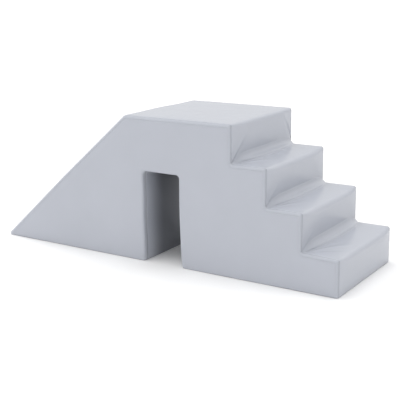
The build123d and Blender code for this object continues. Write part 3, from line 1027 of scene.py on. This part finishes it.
# ---- floor, light and camera
# Brightness of the plain sky, and the softboxes in it: (direction, added strength)
SKY = 0.16
GLOWS = [
    ((-0.55, 0.8, 0.3), 0.63), ((0.6, 0.8, 0.3), 0.6), ((0, -1, 0.3), 0.34),
    ((0.75, -0.6, 0.3), 0.32), ((-1, -0.2, 0.3), 1.4), ((0.8, -0.2, 0.6), 0.18),
]
GLOW_EDGE = 0.45  # cosine of the angle from its middle at which each fades out
FLOOR_COLOUR, FLOOR_HALF, FLOOR_DROP = (0.93, 0.93, 0.93, 1), 120.0, 0.5 * MM
CAMERA_ANGLES = (33.08, 14.37, -0.78)  # azimuth, elevation and roll in degrees
CAMERA_PLACE = (2.051, -3.052, 1.151)
SUN_STRENGTH, SUN_WIDTH = 1.66, radians(50)  # overhead, and very soft


def sky():
    """A plain pale sky with wide softboxes in it."""
    bpy.context.scene.world = bpy.data.worlds.new("studio")
    n = Nodes(bpy.context.scene.world, "Background")
    direction = n.add("TexCoord").outputs["Generated"]
    total = SKY
    for toward, strength in GLOWS:
        facing = {0: direction, 1: Vector(toward).normalized()}
        facing = n.add("VectorMath", facing, operation="DOT_PRODUCT").outputs["Value"]
        glow = {"Value": facing, "From Min": GLOW_EDGE, "To Max": strength}
        glow = n.add("MapRange", glow, interpolation_type="SMOOTHSTEP").outputs["Result"]
        total = n.add("Math", {0: total, 1: glow}).outputs[0]
    n.give(n.shader, "Color", (1.0, 1.0, 1.0, 1))
    n.give(n.shader, "Strength", total)


def floor_and_light():
    """A wide pale floor under a soft sky and one wide sun."""
    sky()
    n = Nodes(bpy.data.materials.new("floor"))
    for key, value in (("Base Color", FLOOR_COLOUR), ("Roughness", 0.9), ("Specular IOR Level", 0.0)):
        n.give(n.shader, key, value)
    corners = rectangle(-FLOOR_HALF, FLOOR_HALF, -FLOOR_HALF, FLOOR_HALF)
    mesh = bpy.data.meshes.new("floor")
    mesh.from_pydata([(x, y, 0) for x, y in corners], [], [(0, 1, 2, 3)])
    mesh.materials.append(n.owner)
    floor = linked("floor", mesh)
    floor.location.z = -FLOOR_DROP
    overhead = bpy.data.lights.new("overhead", "SUN")
    overhead.energy, overhead.angle = SUN_STRENGTH, SUN_WIDTH
    linked("overhead", overhead)


def camera():
    """The camera looks at the side and the steps from the right, a little above."""
    azimuth, elevation, roll = (radians(angle) for angle in CAMERA_ANGLES)
    back = Matrix.Rotation(azimuth, 3, "Z") @ Vector((0, -cos(elevation), sin(elevation)))
    level = Vector((cos(azimuth), sin(azimuth), 0))
    right = Matrix.Rotation(roll, 3, back) @ level
    turn = Matrix((right, back.cross(right), back)).transposed().to_4x4()
    data = bpy.data.cameras.new("camera")
    data.lens = 80
    data.clip_end = 500
    eye = linked("camera", data)
    eye.matrix_world = Matrix.Translation(CAMERA_PLACE) @ turn
    bpy.context.scene.camera = eye


bpy.context.scene.view_settings.view_transform = "Standard"
floor_and_light()
camera()
cover = vinyl("cover_vinyl", (0.475, 0.495, 0.55))
band = top_band(cover)
near = side_panel(-1, "cover_side_panel_near", cover)
far = side_panel(1, "cover_side_panel_far", cover)
lining = tunnel_lining(cover)
thread = speckled("stitch_thread", (0.42, 0.44, 0.48), 0.6, 3000.0, 0.05 * MM)
for cloth, side, side_name in ((near, -1, "near"), (far, 1, "far")):
    sew(f"stitches_{side_name}", panel_stitch_lines(side), cloth, thread)
foot_end = SEAM_Y - FOOT_STOP
sew("stitches_foot", [np.array([(FOOT_X, -foot_end, HEM_Z), (FOOT_X, foot_end, HEM_Z)])], band, thread)

foam_look = speckled("open_cell_foam", (0.62, 0.6, 0.5), 0.95, 1400.0, 0.6 * MM)
base_look = woven("base_cloth", (0.055, 0.057, 0.062), 420.0)
dot_look = speckled("grip_dots", (0.035, 0.036, 0.04), 0.6, 1500.0, 0.05 * MM)
tape_look = woven("zip_tape", (0.27, 0.28, 0.3), 600.0)
coil_look = speckled("coil_plastic", (0.3, 0.31, 0.33), 0.4, 900.0, 0.02 * MM)
metal_look = speckled("nickel", (0.66, 0.65, 0.63), 0.3, 700.0, 0.02 * MM, metallic=1.0)

foam_low, foam_high = TUNNEL_LOW_X - FOAM_INSET - FOAM_SPLIT, TUNNEL_HIGH_X + FOAM_INSET + FOAM_SPLIT
base_low, base_high = TUNNEL_LOW_X - ROLL, TUNNEL_HIGH_X + ROLL + STAIR_BASE_INSET
legs = (
    ("ramp", 1, (TOE_X + ROLL, base_low), (None, foam_low)),
    ("stair", -1, (base_high, FOOT_X - ROLL), (foam_high, None)),
)
for leg, closes, base_x, foam_x in legs:
    zip_low, zip_high = (v.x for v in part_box(f"{leg}_zip_tape_near"))
    for side_name, side in (("near", -1), ("far", 1)):
        cloth = base_half(leg, side_name, side, *base_x, zip_low, zip_high, base_look)
        dots = grip_dots(leg, side_name, side, *base_x, dot_look)
        tape = zip_tape(leg, side_name, side, tape_look)
        zip_coil(leg, side_name, side, coil_look)
    zip_stops(leg, metal_look)
    zip_slider(leg, closes, metal_look)
    zip_pull(leg, -closes, metal_look)
    zip_ends = (zip_low - ZIP_END, zip_high + ZIP_END)
    foam_course(f"foam_bottom_{leg}_side", 0, foam_look, *foam_x, zip_ends)
    foam_course(f"foam_lower_middle_{leg}_side", 1, foam_look, *foam_x)
foam_course("foam_upper_middle", 2, foam_look)
foam_course("foam_platform", 3, foam_look)

band_length = TOE_HEIGHT + hypot(CREST_X - TOE_X, HEIGHT - TOE_HEIGHT) + EDGE_X - CREST_X
band_length += LOWER_TREADS * (TREAD + RISER) + RISER
panel_area = (CREST_X - TOE_X) * (HEIGHT + TOE_HEIGHT) / 2 + (EDGE_X - CREST_X) * HEIGHT
panel_area += TREAD * RISER * sum(range(1, LOWER_TREADS + 1)) - (TUNNEL_HIGH_X - TUNNEL_LOW_X) * TUNNEL_TOP
